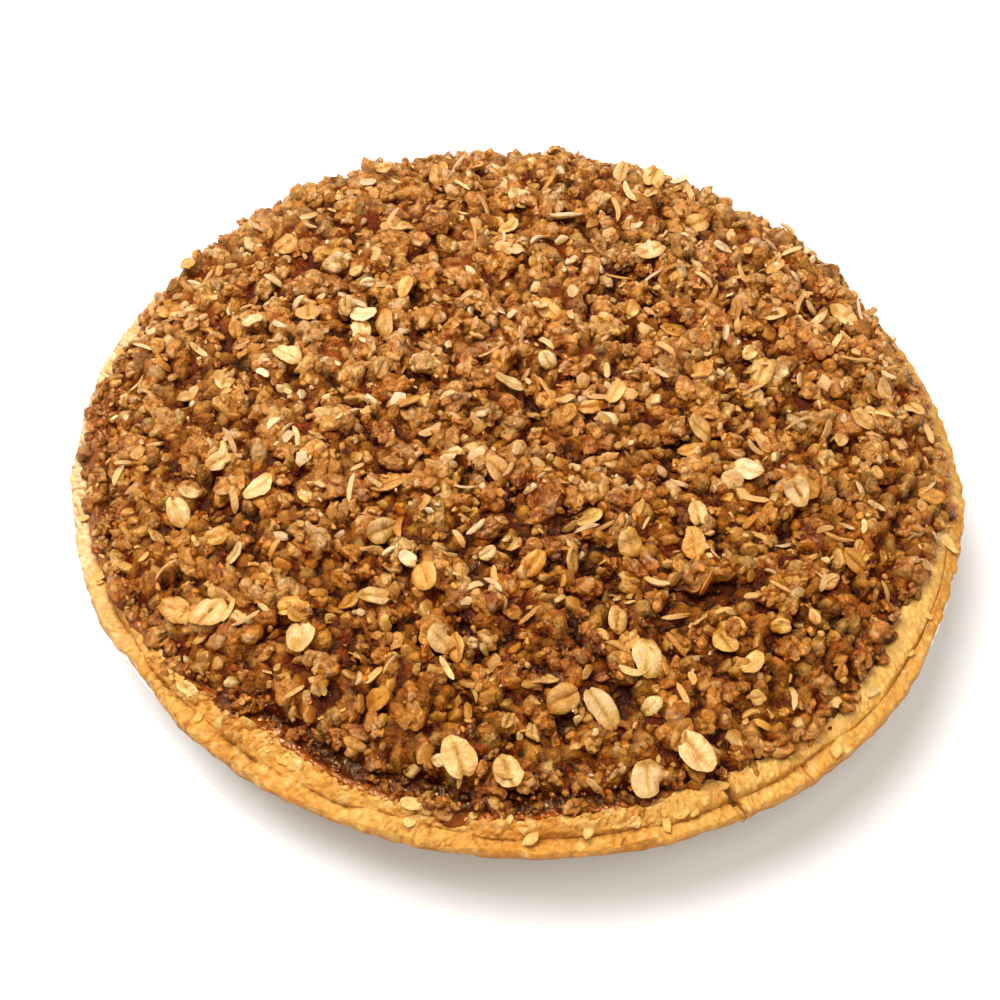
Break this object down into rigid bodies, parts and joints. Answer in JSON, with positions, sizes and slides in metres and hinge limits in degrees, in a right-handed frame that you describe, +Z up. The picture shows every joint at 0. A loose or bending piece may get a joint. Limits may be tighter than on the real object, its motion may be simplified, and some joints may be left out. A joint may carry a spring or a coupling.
{
  "type": "apple tart",
  "caption": "Round deep tart with a pastry case in a pleated foil tin, a dark apple filling at the rim and a heaped oat crumble top.",
  "frame": {"origin": "centre of the tin's flat underside, where the tart stands", "axes": "+Z up out of the tart, along its round axis; -Y towards the front as pictured, +X to the right"},
  "size_m": [0.2428, 0.242, 0.0556],
  "materials": {
    "foil": "thin bright foil, pleated on the wall, with a curled bead",
    "pastry": "baked shortcrust, golden and dry, browner on its edges",
    "filling": "cooked apple and caramel, dark brown and glossy, amber where thin",
    "crumble": "baked oat crumble, mid brown with paler oat flakes and sugary glints"
  },
  "bodies": {
    "root": {"foil_tin": "foil", "pastry_crust": "pastry", "apple_filling": "filling", "crumble_topping": "crumble"}
  },
  "joints": []
}
